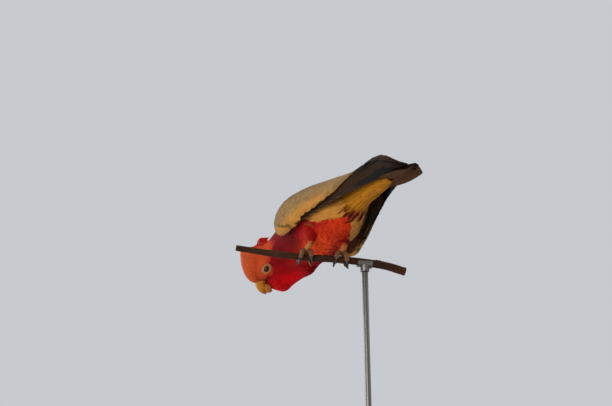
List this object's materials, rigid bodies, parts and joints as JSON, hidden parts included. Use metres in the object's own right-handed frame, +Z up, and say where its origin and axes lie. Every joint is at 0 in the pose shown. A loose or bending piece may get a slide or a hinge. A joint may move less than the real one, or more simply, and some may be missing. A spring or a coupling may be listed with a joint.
{
  "type": "galah",
  "caption": "Life-size still galah, a pink and grey cockatoo, gripping a cut branch with its head lowered and cocked, on a rod and round base.",
  "frame": {"origin": "centre of the stand base's flat underside", "axes": "+Z up along the rod; the bird faces -Y and its left side is towards +X"},
  "size_m": [0.2563, 0.3447, 0.4083],
  "materials": {
    "rose_plumage": "deep rose-red contour feathers",
    "face_plumage": "short deep rose feathers of the cheek, throat and nape",
    "cap_plumage": "pale orange-pink feathers of the crown and crest, red at the tips",
    "grey_plumage": "warm pale grey wing coverts with paler edges",
    "tail_coverts": "ochre-grey coverts round the tail's root",
    "dark_quills": "dark brown-grey quill feathers with paler edges",
    "bill_horn": "pale horn with a faint growth grain",
    "claw_horn": "dark polished horn",
    "scaly_skin": "brown scaly skin of toes and shanks",
    "eye": "wet dark eye",
    "bark": "thin grey-brown bark with pale cut ends",
    "base_wood": "dark stained turned wood, satin varnish",
    "rod_steel": "fine brushed steel"
  },
  "bodies": {
    "root": {"bill_lower": "bill_horn", "bill_upper": "bill_horn", "branch": "bark", "claw_left_1": "claw_horn", "claw_left_2": "claw_horn", "claw_left_3": "claw_horn", "claw_left_4": "claw_horn", "claw_right_1": "claw_horn", "claw_right_2": "claw_horn", "claw_right_3": "claw_horn", "claw_right_4": "claw_horn", "crest": "cap_plumage", "eye_left": "eye", "eye_right": "eye", "flight_left": "dark_quills", "flight_right": "dark_quills", "foot_left": "scaly_skin", "foot_right": "scaly_skin", "head": "face_plumage", "neck": "rose_plumage", "stand_base": "base_wood", "stand_cradle": "rod_steel", "stand_rod": "rod_steel", "tail": "dark_quills", "thigh_left": "rose_plumage", "thigh_right": "rose_plumage", "trunk": "rose_plumage", "undertail_coverts": "tail_coverts", "uppertail_coverts": "tail_coverts", "wing_left": "grey_plumage", "wing_right": "grey_plumage"}
  },
  "joints": []
}
